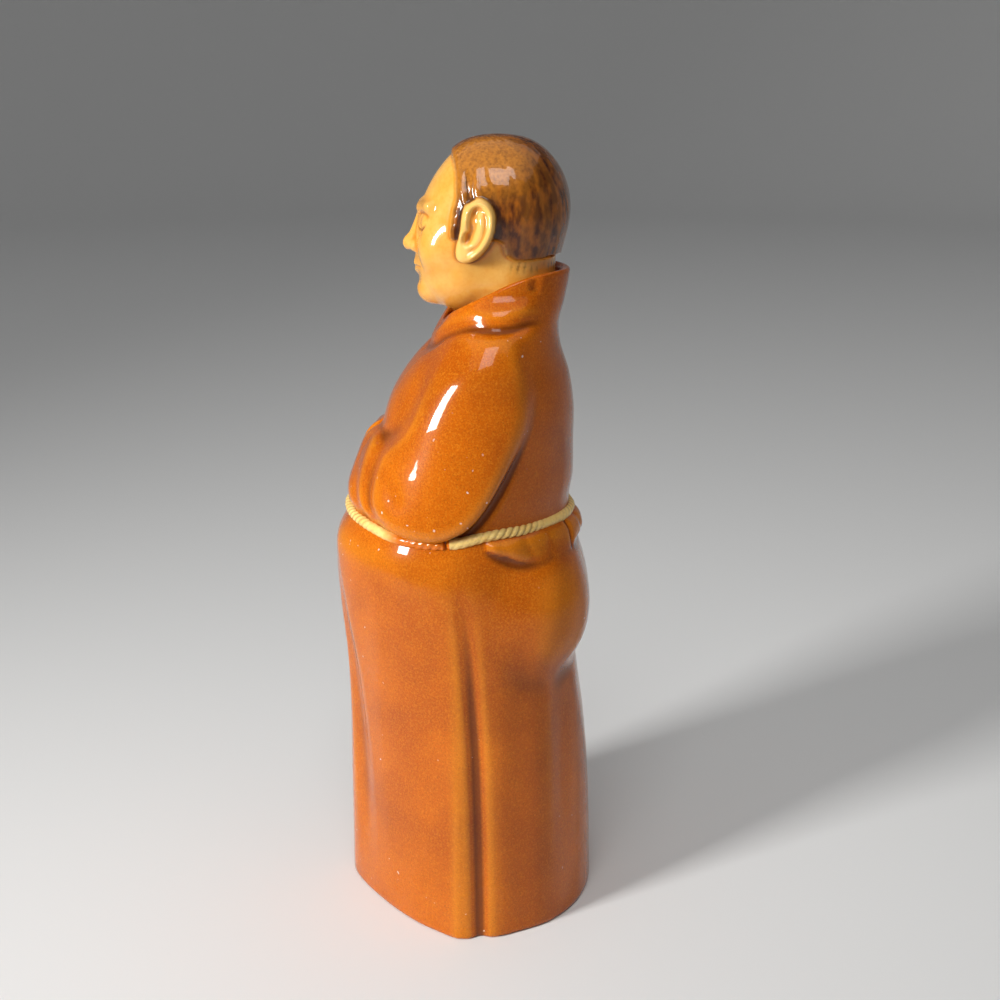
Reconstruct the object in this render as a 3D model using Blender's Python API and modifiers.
"""Figural decanter: a slip-cast, glazed ceramic friar whose head is the stopper.

The robed body is the vessel. The head lifts out with the cork sleeve on its stem.
The figure faces -Y and stands on z = 0, in metres, with +Z up.

Free forms are counted in parts, 226 to the body's height and 70 to the head's, as a modeller's
proportional rule does, so that the pose and the carving keep their proportions. Walls, lips,
bores and fits have sizes of their own, in metres.
"""

import math

import bmesh
import bpy
import numpy as np

# Driving sizes, in metres.
BODY_HEIGHT = 0.226
HEAD_HEIGHT = 0.07
WALL = 0.005
FLOOR = 0.006
FOOT_WIDTH = 0.008
FOOT_RECESS = 0.0025
FOOT_CHAMFER = 0.0008
COLLAR_LIP = 0.0036
COLLAR_RISE = 0.0156
COLLAR_SLOPE = 0.00975
COLLAR_SHOULDER = 0.0029
NECK_SETBACK = 0.013
NECK_TAPER = 0.018
NECK_RADIUS = 0.0192
SEAT_RADIUS = 0.015
NECK_CLEARANCE = 0.0016
MOUTH_RADIUS = 0.013
THROAT_LENGTH = 0.018
THROAT_WALL = 0.0045
CORK_LENGTH = 0.011
CORK_TAPER = 0.0007
CORK_WALL = 0.0035
STEM_TIP = 0.0012
STEM_WALL = 0.0032
HEAD_WALL = 0.0055
ROPE_RADIUS = 0.002
HAIR_DEPTH = 0.0015
FIT_GAP = 0.0003

# The body's height runs from the base to the floor of the neck's well, and the head's from there
# to the crown. The head's own parts have that floor, on the neck's axis, at HEAD_SEAT.
WELL_FLOOR = 226
PART = BODY_HEIGHT / WELL_FLOOR
HEAD_PART = HEAD_HEIGHT / 70
HEAD_SEAT = np.array([0, 13, 226])
NECK_AXIS = NECK_SETBACK / PART
COLLAR_RADIUS = (NECK_RADIUS + NECK_CLEARANCE + COLLAR_LIP) / PART
COLLAR_BACK = NECK_AXIS + COLLAR_RADIUS

# Mesh counts: columns and rows of the robe, the head and their hollows.
ROBE_COLUMNS = 62
ROBE_ROWS = (13, 4, 15, 7)
HEAD_COLUMNS = 42
HEAD_ROWS = (14, 10)
HOLLOW_COLUMNS = 26
HOLLOW_ROWS = 9

# Glaze and cork colours, linear.
AMBER_GLAZE = (0.36, 0.10, 0.012, 1)
FLESH_GLAZE = (0.72, 0.38, 0.09, 1)
CORK_BROWN = (0.46, 0.28, 0.14, 1)


def curve_through(points):
    """A smooth function through (place, size) pairs."""
    place, size = np.array(points, float).T
    slope = np.gradient(size, place)

    def at(z):
        z = np.clip(z, place[0], place[-1])
        i = np.clip(np.searchsorted(place, z) - 1, 0, len(place) - 2)
        span = place[i + 1] - place[i]
        t = (z - place[i]) / span
        rise = size[i + 1] - size[i]
        bend = (slope[i] * span - rise) * (1 - t) - (slope[i + 1] * span - rise) * t
        return size[i] + rise * t + t * (1 - t) * bend

    return at


def path_through(points, closed=False, steps=5):
    """Points along a smooth curve through a few places on a plane."""
    points = np.array(points, float)
    if closed:
        before, after, beyond = np.roll(points, 1, 0), np.roll(points, -1, 0), np.roll(points, -2, 0)
    else:
        ends = np.vstack([2 * points[0] - points[1], points, 2 * points[-1] - points[-2]])
        before, points, after, beyond = ends[:-3], ends[1:-2], ends[2:-1], ends[3:]
    t = np.linspace(0, 1, steps, endpoint=False)[None, :, None]
    a, b, c, d = (v[:, None, :] for v in (before, points, after, beyond))
    path = b + 0.5 * t * (c - a + t * (2 * a - 5 * b + 4 * c - d + t * (3 * (b - c) + d - a)))
    path = path.reshape(-1, 2)
    return np.vstack([path, path[:1] if closed else after[-1:]])


def smooth_step(low, high, x):
    t = np.clip((x - low) / (high - low), 0, 1)
    return t * t * (3 - 2 * t)


def blend(a, b, soft):
    """Union of two distance fields, with a fillet about soft wide."""
    t = np.clip(0.5 + 0.5 * (b - a) / soft, 0, 1)
    return b + (a - b) * t - soft * t * (1 - t)


def carve(a, b, soft):
    """Field a with field b cut out of it."""
    return -blend(-a, b, soft)


def distance_to(path, u, v):
    """How far places (u, v) on a plane are from a path on it."""
    nearest = np.full(np.broadcast(u, v).shape, 1e9)
    for (u0, v0), (u1, v1) in zip(path, path[1:]):
        du, dv = u1 - u0, v1 - v0
        t = np.clip(((u - u0) * du + (v - v0) * dv) / (du * du + dv * dv), 0, 1)
        nearest = np.minimum(nearest, np.hypot(u - u0 - t * du, v - v0 - t * dv))
    return nearest


def within(path, u, v):
    """Distance to a closed path, negative inside it."""
    inside = np.zeros(np.broadcast(u, v).shape, bool)
    for (u0, v0), (u1, v1) in zip(path, path[1:]):
        crosses = (v0 > v) != (v1 > v)
        inside ^= crosses & (u < u0 + (v - v0) * (u1 - u0) / (v1 - v0 if v1 != v0 else 1))
    return distance_to(path, u, v) * np.where(inside, -1, 1)


def fold(points, u, v, width):
    """A crease's profile, 1 along its bottom and 0 at width from it."""
    return np.clip(1 - distance_to(path_through(points), u, v) / width, 0, 1) ** 1.6


def ellipsoid(p, centre, radii):
    q = (p - centre) / radii
    reach = np.linalg.norm(q, axis=-1)
    return reach * (reach - 1) / np.maximum(np.linalg.norm(q / radii, axis=-1), 1e-6)


def limb(p, start, end, start_radius, end_radius):
    """A round-ended cone between two points."""
    start, end = np.array(start, float), np.array(end, float)
    axis = end - start
    t = np.clip((p - start) @ axis / (axis @ axis), 0, 1)
    away = np.linalg.norm(p - start - t[..., None] * axis, axis=-1)
    return away - start_radius - (end_radius - start_radius) * t


def cast(field, origin, direction, far, step=1.5):
    """How far out along each ray the field's outermost surface lies."""
    t = np.full(direction.shape[:-1], float(far))
    looking = np.ones(t.shape, bool)
    while looking.any():
        inside = field(origin + (t - step)[..., None] * direction) < 0
        looking &= ~inside & (t > 2 * step)
        t = np.where(looking, t - step, t)
    near, outer = t - step, t
    for _ in range(12):
        middle = (near + outer) / 2
        inside = field(origin + middle[..., None] * direction) < 0
        near, outer = np.where(inside, middle, near), np.where(inside, outer, middle)
    return (near + outer) / 2


# The robe without its sleeves, in parts: its reach forward, back and to each side.
reach_front = curve_through([
    (0, 50), (50, 49.3), (75, 48.9), (100, 49.3), (122, 51), (140, 51.7), (150, 51),
    (160, 45.5), (175, 39.6), (190, 33.8), (205, 28.3), (216, 20.5),
    (223, COLLAR_RADIUS - NECK_AXIS + 2.2), (262, COLLAR_RADIUS - NECK_AXIS)])
reach_back = curve_through([
    (0, 49.2), (48, 47.4), (75, 45), (92, 42.6), (102, 41.6), (119, 46.2), (132, 45.8), (142, 43),
    (150, 41.2), (155, 40), (161, 38.4), (172, 39.6), (185, 39.6), (200, 39.4), (211, COLLAR_BACK + 0.2),
    (222, COLLAR_BACK - 3.2), (229, COLLAR_BACK - 3.9), (238, COLLAR_BACK - 1.8), (248, COLLAR_BACK),
    (262, COLLAR_BACK)])
reach_side = curve_through([
    (0, 53), (60, 50.8), (100, 49.2), (130, 49.6), (143, 49), (151, 47.5), (160, 45), (172, 43.2), (185, 42),
    (205, 41.5), (216, 40.5), (223, COLLAR_RADIUS + 13.6), (228, COLLAR_RADIUS + 10.6),
    (232, COLLAR_RADIUS + 6.6), (236, COLLAR_RADIUS + 3.1), (242, COLLAR_RADIUS), (262, COLLAR_RADIUS)])
widest = curve_through([
    (0, -4), (100, -4), (160, -4), (195, 2), (225, 9), (236, NECK_AXIS), (262, NECK_AXIS)])
front_fullness = curve_through([(0, 1.3), (60, 1.4), (120, 1.75), (160, 1.95), (215, 2), (262, 2)])
back_fullness = curve_through([(0, 2.15), (120, 2.1), (160, 1.8), (200, 2), (262, 2)])
sleeve_depth = curve_through([(150, 5), (165, 6.5), (180, 6), (205, 3.2), (222, 1.6), (236, 0)])
girdle_height = curve_through([
    (0, 160.3), (45, 159.4), (70, 157.6), (90, 158.3), (102, 159.8), (125, 159.9), (155, 159), (180, 158.4)])
collar_foot = curve_through([
    (0, 220.5), (25, 223), (45, 227.8), (65, 231.4), (90, 231.9), (112, 233.3), (140, 232), (180, 228)])

# Outlines on the figure's side, as (y, z) in parts: a hanging sleeve, the forearms in front, and
# the cloth gathered behind the girdle.
SLEEVE = path_through([
    (2, 231), (11, 233), (19, 228), (23.5, 214), (22.5, 200), (17.5, 187), (9.5, 172.5), (1, 163),
    (-10, 159), (-21, 159.4), (-31, 163), (-36, 172), (-33.5, 184), (-24, 198), (-16, 213), (-8, 225)], True)
FOREARM = path_through([
    (-64, 163.5), (-48, 162.5), (-36, 161), (-22, 160), (-12, 162), (-6, 172), (-14, 184), (-25, 190),
    (-37, 192.5), (-48, 193.5), (-64, 193.5), (-90, 179)], True)
GATHER = path_through([
    (8, 157), (13, 153.5), (19, 151), (25, 149.8), (34, 150.3), (46, 149.6), (62, 149.6), (66, 154),
    (60, 156.4), (44, 156.9), (30, 157.8), (16, 158)], True)

# Creases in the same view, with how deep and how wide each one is.
SIDE_CREASES = [
    ([(23, 201), (17.5, 187), (9.5, 171.5), (1, 162), (-9, 158.5)], 1.3, 3),
    ([(-8, 226), (-15, 214), (-22.5, 198), (-32, 187), (-36, 172), (-33, 165), (-24, 161)], 1.3, 3),
    ([(-27, 199), (-37, 189), (-41.5, 175), (-39.5, 165), (-33, 160)], 0.9, 2.4),
    ([(-31, 186), (-27, 176), (-24, 168)], 0.7, 4),
    ([(-7, 153), (-2, 138), (0, 122), (1.6, 99), (3, 75), (4, 37), (4.5, -4)], 1.9, 5.5),
    ([(-36, 150), (-38.5, 120), (-39, 80), (-38, 40), (-37, 20)], 0.5, 6),
    ([(-15, 146), (-12, 110), (-11, 60), (-11, -4)], 0.5, 9),
    ([(38.5, 118), (36, 98), (36.5, 60), (38, 30)], 1.1, 5),
    ([(24, 148), (20, 100), (20, 50), (21, -4)], 0.7, 8)]
FRONT_CREASES = [
    ([(2.5, 197), (-2.5, 184), (-2, 172), (1.5, 158)], 2.2, 3),
    ([(11, 150), (14, 110), (16, 50), (18, -4)], 1.7, 7)]


def robe_section(angle, z):
    """The robe's radius at an angle from the front, without sleeves or folds."""
    forward = np.cos(angle) > 0
    depth = np.where(forward, reach_front(z) + widest(z), reach_back(z) - widest(z))
    fullness = np.where(forward, front_fullness(z), back_fullness(z))
    across = np.abs(np.sin(angle) / reach_side(z)) ** fullness
    return (across + np.abs(np.cos(angle) / depth) ** fullness) ** (-1 / fullness)


def rim_height(turn):
    """The height of the collar's rim, which slopes up from the throat to the nape."""
    rise = COLLAR_RISE - COLLAR_SLOPE * np.cos(turn) - COLLAR_SHOULDER * np.cos(2 * turn)
    return WELL_FLOOR + rise / PART


def robe_form(p):
    """The body as a distance field, with its sleeves but without its finer carving."""
    x, y, z = p[..., 0], p[..., 1], p[..., 2]
    out = np.hypot(x, y - widest(z))
    angle = np.arctan2(x, widest(z) - y)
    robe = out - robe_section(angle, z)
    robe = carve(robe, y + reach_front(z) - 0.6, 3)
    sleeve = carve(robe - sleeve_depth(z), -within(SLEEVE, y, z), 6)
    forearm = carve(robe - 5, -within(FOREARM, y, z), 10)
    return blend(blend(robe, forearm, 2), sleeve, 2)


def robe_field(p):
    """The body with its creases, gathers, collar roll and girdle."""
    x, y, z = p[..., 0], p[..., 1], p[..., 2]
    form = robe_form(p)
    for points, depth, width in SIDE_CREASES:
        form = form + depth * fold(points, y, z, width) * smooth_step(4, 12, np.abs(x))
    for points, depth, width in FRONT_CREASES:
        form = form + depth * fold(points, np.abs(x) if points[0][0] > 5 else x, z, width) * (y < 0)
    turn = np.arctan2(x, NECK_AXIS - y)
    foot = collar_foot(np.degrees(np.abs(turn)))
    at_collar = smooth_step(-3, 0, z - foot + 3)
    roll = 1.6 * np.exp(-((z - foot - 4.5) / 3.6) ** 2) * at_collar
    nape = smooth_step(1.75, 2.3, np.abs(turn))
    form = form - roll * (1 - nape)
    form = form + 1.5 * np.clip(1 - np.abs(z - foot) / 2.6, 0, 1) ** 1.6 * (1 - nape)
    form = form + 0.5 * fold([(NECK_AXIS + 12, 250), (NECK_AXIS + 10.5, 243)], y, z, 3)
    form = blend(form, ellipsoid(np.stack([np.abs(x), y, z], -1), (23, 25, 127), (19.5, 17.8, 24)), 12)
    angle = np.arctan2(x, widest(z) - y)
    waist = np.hypot(x, y - widest(z)) - robe_section(angle, z)
    form = blend(form, carve(waist - 3, -within(GATHER, y, z), 3), 3)
    girdle = np.hypot(waist + 0.4, z - girdle_height(np.degrees(np.abs(angle)))) - ROPE_RADIUS / PART
    return blend(form, girdle, 0.5)


def robe_rings():
    """Rings of points, in parts, from the foot up the outside and over the collar's rim."""
    angle = np.linspace(-math.pi, math.pi, ROBE_COLUMNS, endpoint=False)[None, :]
    girdle = girdle_height(np.degrees(np.abs(angle)))
    low, rope, upper, top = ROBE_ROWS
    half = 1.35 * ROPE_RADIUS / PART
    chamfer = FOOT_CHAMFER / PART
    skirt = chamfer + (girdle - half - chamfer) * np.linspace(0, 1, low, endpoint=False)[:, None]
    cord = girdle + half * np.linspace(-1, 1, rope, endpoint=False)[:, None]
    breast = 214 + 0.35 * (rim_height(angle) - WELL_FLOOR - COLLAR_RISE / PART)
    torso = girdle + half + (breast - girdle - half) * np.linspace(0, 1, upper, endpoint=False)[:, None]
    collar = breast + (rim_height(angle) - breast) * np.linspace(0, 1, top)[:, None]
    z = np.concatenate([skirt, cord, torso, collar])
    outward = np.stack([np.sin(angle) + 0 * z, -np.cos(angle) + 0 * z, 0 * z], -1)
    axis = np.stack([0 * z, widest(z), z], -1)
    skin = axis + cast(robe_field, axis, outward, 72)[..., None] * outward
    sole = skin[:1] - chamfer * outward[:1]
    sole[..., 2] = 0
    lip = np.stack([np.sin(angle) + 0 * angle, -np.cos(angle), 0 * angle], -1)
    centre = np.array([0, NECK_AXIS, 0])
    bore = COLLAR_RADIUS - COLLAR_LIP / PART
    rise = np.stack([0 * angle, 0 * angle, rim_height(angle)], -1)
    crest = centre + (COLLAR_RADIUS - 0.45 * COLLAR_LIP / PART) * lip + rise + (0, 0, 0.9)
    inner = centre + (bore - 1.5) * lip + rise + (0, 0, 0.2)
    plug = centre + (bore - 3) * lip + (0, 0, WELL_FLOOR + 1.5)
    return np.concatenate([sole, skin, crest, inner, plug])


def hollow_rings():
    """Rings of points, in parts, round the bottle's inside: up its walls, then down the throat."""
    angle = np.linspace(-math.pi, math.pi, HOLLOW_COLUMNS, endpoint=False)[None, :]
    throat = (MOUTH_RADIUS + THROAT_WALL) / PART
    throat_end = WELL_FLOOR - THROAT_LENGTH / PART
    wall = WALL / PART

    def reach(z):
        z = z + 0 * angle
        outward = np.stack([np.sin(angle) + 0 * z, -np.cos(angle) + 0 * z, 0 * z], -1)
        centre = widest(z) + (NECK_AXIS - widest(z)) * smooth_step(165, 205, z)
        axis = np.stack([0 * z, centre, z], -1)

        def lining(p):
            return np.maximum(robe_form(p) + wall, robe_form(p + (0, 0, wall)))

        return axis, outward, cast(lining, axis, outward, 72)

    heights = np.arange(throat_end + 1.5, WELL_FLOOR - wall, 0.5)[:, None]
    room = reach(heights)[2] > throat + 3
    roof = heights[0] + 0.5 * np.maximum(np.argmin(np.vstack([room, 0 * room[:1]]), 0) - 1, 0)
    floor = (FOOT_RECESS + FLOOR) / PART
    z = floor + (roof - floor) * np.linspace(0, 1, HOLLOW_ROWS)[:, None] ** 0.8
    axis, outward, radius = reach(z)
    radius = np.where(z > throat_end, np.maximum(radius, throat + 1.2), radius)
    walls = axis + radius[..., None] * outward
    base = walls[:1] - 3 * outward[:1]
    walls[0, :, 2] += 3
    inner = np.array([0, NECK_AXIS, 0]) + throat * outward[:2]
    inner[0, :, 2] = roof - 0.6
    inner[1, :, 2] = throat_end
    return np.concatenate([base, walls, inner])


def foot_rings():
    """Rings, in parts, of the recess under the foot."""
    angle = np.linspace(-math.pi, math.pi, HOLLOW_COLUMNS, endpoint=False)
    outward = np.stack([np.sin(angle), -np.cos(angle), 0 * angle], -1)
    axis = np.array([0, widest(0), 0])
    rim = cast(robe_form, axis + 0 * outward, outward, 72) - FOOT_WIDTH / PART
    rim = axis + rim[:, None] * outward
    return np.stack([rim - (0, 0, 3), rim, rim - 1.5 * outward + (0, 0, FOOT_RECESS / PART)])


# The hair's edge and the ear, as (y, z) in parts on the side of the head.
HAIR = path_through([
    (-5, 262), (-4, 272), (-3, 281), (-5, 290), (-9, 300), (20, 312), (60, 300), (62, 262), (46, 254.5),
    (33, 254.5), (22, 254), (15.5, 255), (12, 261), (2, 262)], True)
EAR_PLACE = (22.6, 3.2, 264.5)
EAR_TILT = math.radians(13)


def head_form(p):
    """The head and neck without features, hair or ears."""
    skull = ellipsoid(p, (0, 15.6, 270.4), (22.8, 20.2, 23.8))
    skull = blend(skull, ellipsoid(p, (0, 6.5, 270.6), (21.8, 19.5, 23.4)), 4)
    skull = blend(skull, ellipsoid(p, (0, 0, 259), (19.5, 18.5, 23.5)), 7)
    skull = blend(skull, ellipsoid(p, (0, 2, 246.5), (18.5, 17.5, 12.5)), 6)
    taper = np.clip((p[..., 2] - HEAD_SEAT[2]) / (NECK_TAPER / HEAD_PART), 0, 1)
    column = np.hypot(p[..., 0], p[..., 1] - HEAD_SEAT[1])
    column = column - (SEAT_RADIUS + (NECK_RADIUS - SEAT_RADIUS) * taper) / HEAD_PART
    neck = np.maximum(column, np.maximum(p[..., 2] - 262, 200 - p[..., 2]))
    return blend(skull, neck, np.where(p[..., 2] < 236, 0.1, 0.1 + 0.35 * np.clip(p[..., 2] - 236, 0, 10)))


def head_field(p):
    """The head with a plain face, ears and a cap of hair."""
    side = np.stack([np.abs(p[..., 0]), p[..., 1], p[..., 2]], -1)
    face = head_form(p)
    face = carve(face, ellipsoid(side, (8.6, -19.6, 266.5), (5.6, 4.6, 4.2)), 3)
    face = blend(face, ellipsoid(side, (8.4, -12.2, 266), (4.4, 4, 3.6)), 1)
    face = blend(face, limb(side, (3, -16.6, 271.5), (12.5, -13.4, 272.3), 1.7, 1.3), 3)
    face = blend(face, limb(p, (0, -16.6, 270), (0, -20.6, 258.6), 1.7, 2.7), 2)
    face = blend(face, ellipsoid(side, (3.2, -18.4, 257.6), (2.2, 2.6, 2.1)), 1.2)
    face = blend(face, limb(side, (0, -18.6, 251), (5.6, -16.4, 250.4), 1.5, 0.7), 1.6)
    face = blend(face, limb(side, (0, -18.3, 248), (4.6, -16.4, 248.6), 1.6, 0.8), 1.4)
    face = blend(face, ellipsoid(p, (0, -12.6, 241.5), (7, 5.2, 5.4)), 4)
    face = blend(face, ellipsoid(side, (12, -8.6, 256.5), (6.4, 7, 7.4)), 5)
    covered = smooth_step(1.6, -1.6, within(HAIR, p[..., 1], p[..., 2]))
    face = np.minimum(face, head_form(p) - HAIR_DEPTH / HEAD_PART * covered)
    sine, cosine = math.sin(EAR_TILT), math.cos(EAR_TILT)
    x, y, z = np.moveaxis(side - EAR_PLACE, -1, 0)
    ear = np.stack([x - 0.22 * y, y * cosine - z * sine, y * sine + z * cosine], -1)
    lobe = ellipsoid(ear, (0, -0.6, -5.5), (4.6, 4.8, 6))
    shell = blend(ellipsoid(ear, (0, 0.6, 3), (5.6, 7, 8.8)), lobe, 3)
    shell = carve(shell, ellipsoid(ear, (6.2, -0.6, 1.5), (3.6, 4.2, 6.4)), 1.2)
    return blend(face, shell, 1)


def head_rings():
    """Rings of points, in parts, from the stem's tip to near the crown, and the crown."""
    angle = np.linspace(-math.pi, math.pi, HEAD_COLUMNS, endpoint=False)[None, :]
    angle = angle - 0.07 * np.sin(4 * angle)
    rows, arcs = HEAD_ROWS
    seat = HEAD_SEAT[2] + FIT_GAP / HEAD_PART
    stem = (MOUTH_RADIUS - 2 * FIT_GAP - CORK_WALL) / HEAD_PART
    around = np.stack([np.sin(angle), -np.cos(angle), 0 * angle], -1)
    axis = np.array([0, HEAD_SEAT[1], 0])
    tip = seat - (CORK_LENGTH + STEM_TIP) / HEAD_PART
    foot = np.concatenate([
        axis + stem * around + (0, 0, tip), axis + stem * around + (0, 0, seat),
        axis + SEAT_RADIUS / HEAD_PART * around + (0, 0, seat)])
    climb = np.concatenate([[232], np.linspace(236.5, 267, rows), np.full(arcs, 267)])[:, None]
    lift = np.concatenate([np.zeros(rows + 1), np.linspace(0, 84, arcs + 1)[1:]])[:, None]
    lift = np.radians(lift)
    level = np.cos(lift)
    outward = np.stack([np.sin(angle) * level, -np.cos(angle) * level, np.sin(lift) + 0 * angle], -1)
    back = 8 + (HEAD_SEAT[1] - 8) * smooth_step(262, 236, climb)
    axis = np.stack([0 * climb + 0 * angle, back + 0 * angle, climb + 0 * angle], -1)
    skin = axis + cast(head_field, axis, outward, 42, 1)[..., None] * outward
    top = np.array([[0, 8, 267.0]])
    crown = top + cast(head_field, top, np.array([[0, 0, 1.0]]), 42, 1)[:, None] * (0, 0, 1)
    return np.concatenate([foot, skin]), crown[0]


def head_hollow_rings():
    """Rings, in parts, of the head's inside and the bore down its stem."""
    angle = np.linspace(-math.pi, math.pi, 24, endpoint=False)[None, :]
    seat = HEAD_SEAT[2] + FIT_GAP / HEAD_PART
    bore = (MOUTH_RADIUS - 2 * FIT_GAP - CORK_WALL - STEM_WALL) / HEAD_PART
    wall = HEAD_WALL / HEAD_PART
    around = np.stack([np.sin(angle), -np.cos(angle), 0 * angle], -1)
    axis = np.array([0, HEAD_SEAT[1], 0])
    tip = seat - (CORK_LENGTH + STEM_TIP) / HEAD_PART
    pipe = [axis + bore * around + (0, 0, tip - 3), axis + bore * around + (0, 0, seat + wall)]

    def lining(p):
        return np.maximum(head_form(p) + wall, head_form(p + (0, 0, wall)))

    z = np.concatenate([[seat + wall + 1, 238], np.linspace(244, 286, 8)])[:, None] + 0 * angle
    outward = np.broadcast_to(around, z.shape + (3,))
    axis = np.stack([0 * z, HEAD_SEAT[1] + 0 * z, z], -1)
    return np.concatenate([*pipe, axis + cast(lining, axis, outward, 42, 1)[..., None] * outward])


def on_neck(points):
    """Places on the head, from its own parts to parts of the body."""
    return (points - HEAD_SEAT) * HEAD_PART / PART + (0, NECK_AXIS, WELL_FLOOR)


def loft(name, rings, crown=None):
    """A closed mesh through rings of points, with flat ends or a last point."""
    mesh = bpy.data.meshes.new(name)
    bm = bmesh.new()
    loops = [[bm.verts.new(p * PART) for p in ring] for ring in rings]
    for lower, upper in zip(loops, loops[1:]):
        for i in range(len(lower)):
            bm.faces.new((lower[i - 1], lower[i], upper[i], upper[i - 1]))
    bm.faces.new(loops[0][::-1])
    if crown is None:
        bm.faces.new(loops[-1])
    else:
        tip = bm.verts.new(crown * PART)
        for i in range(len(loops[-1])):
            bm.faces.new((loops[-1][i - 1], loops[-1][i], tip))
    bmesh.ops.recalc_face_normals(bm, faces=bm.faces)
    bm.to_mesh(mesh)
    bm.free()
    return bpy.data.objects.new(name, mesh)


def well_rings():
    """Rings, in parts, of the tapered well that the neck stands in."""
    angle = np.linspace(-math.pi, math.pi, 48, endpoint=False)
    around = np.stack([np.sin(angle), -np.cos(angle), 0 * angle], -1)
    axis = np.array([0, NECK_AXIS, 0])
    low, high = (SEAT_RADIUS + NECK_CLEARANCE) / PART, (NECK_RADIUS + NECK_CLEARANCE) / PART
    return np.stack([
        axis + low * around + (0, 0, WELL_FLOOR),
        axis + high * around + (0, 0, WELL_FLOOR + NECK_TAPER / PART),
        axis + high * around + (0, 0, 2 * WELL_FLOOR)])


def cylinder(name, radius, low, high, segments=48):
    """A closed cylinder on the neck's axis, between two heights in metres."""
    mesh = bpy.data.meshes.new(name)
    bm = bmesh.new()
    bmesh.ops.create_cone(
        bm, cap_ends=True, segments=segments, radius1=radius, radius2=radius, depth=high - low)
    bm.to_mesh(mesh)
    bm.free()
    obj = bpy.data.objects.new(name, mesh)
    obj.location = (0, NECK_SETBACK, (low + high) / 2)
    return obj


def cork_profile():
    """The cork's section, turned about its own axis, with its top at z = 0."""
    outer = MOUTH_RADIUS - FIT_GAP
    inner = outer - CORK_WALL
    mesh = bpy.data.meshes.new("cork_sleeve")
    section = [(inner, 0), (outer, 0), (outer - CORK_TAPER, -CORK_LENGTH), (inner, -CORK_LENGTH)]
    mesh.from_pydata([(x, 0, z) for x, z in section], [(0, 1), (1, 2), (2, 3), (3, 0)], [])
    cork = bpy.data.objects.new("cork_sleeve", mesh)
    cork.location = (0, NECK_SETBACK, BODY_HEIGHT)
    turn = cork.modifiers.new("turned", "SCREW")
    turn.steps = 36
    turn.render_steps = 36
    turn.use_merge_vertices = True
    turn.merge_threshold = 0.0001
    return cork


def cut(obj, cutter):
    """Take a cutter's shape out of an object and keep the cutter as a wire guide."""
    cutter.hide_render = True
    cutter.display_type = "WIRE"
    step = obj.modifiers.new(cutter.name, "BOOLEAN")
    step.operation = "DIFFERENCE"
    step.solver = "EXACT"
    step.object = cutter


def finish(obj, name, colour, roughness):
    """Give a piece its material and smooth shading."""
    material = bpy.data.materials.new(name)
    material.use_nodes = True
    shader = material.node_tree.nodes["Principled BSDF"]
    shader.inputs["Base Color"].default_value = colour
    shader.inputs["Roughness"].default_value = roughness
    shader.inputs["Metallic"].default_value = 0.0
    obj.data.materials.append(material)
    obj.data.shade_smooth()
    obj.data.set_sharp_from_angle(angle=math.radians(50))


def main():
    for obj in list(bpy.data.objects):
        bpy.data.objects.remove(obj)
    pieces = bpy.data.collections.new("figural_decanter")
    cutters = bpy.data.collections.new("cutters")
    bpy.context.scene.collection.children.link(pieces)
    bpy.context.scene.collection.children.link(cutters)

    well = loft("well", well_rings())
    mouth = cylinder("mouth", MOUTH_RADIUS, BODY_HEIGHT - THROAT_LENGTH - 0.002, BODY_HEIGHT + 0.001)
    hollow = loft("bottle_hollow", hollow_rings())
    recess = loft("foot_recess", foot_rings())
    vessel = loft("robed_vessel", robe_rings())
    for cutter in (recess, hollow, well, mouth):
        cutters.objects.link(cutter)
        cut(vessel, cutter)

    rings, crown = head_rings()
    head = loft("head_stopper", on_neck(rings), on_neck(crown))
    head_hollow = loft("head_hollow", on_neck(head_hollow_rings()))
    cutters.objects.link(head_hollow)
    cut(head, head_hollow)

    cork = cork_profile()
    for piece in (vessel, head, cork):
        pieces.objects.link(piece)
    finish(vessel, "amber_glaze", AMBER_GLAZE, 0.12)
    finish(head, "flesh_glaze", FLESH_GLAZE, 0.12)
    finish(cork, "cork", CORK_BROWN, 0.8)


main()
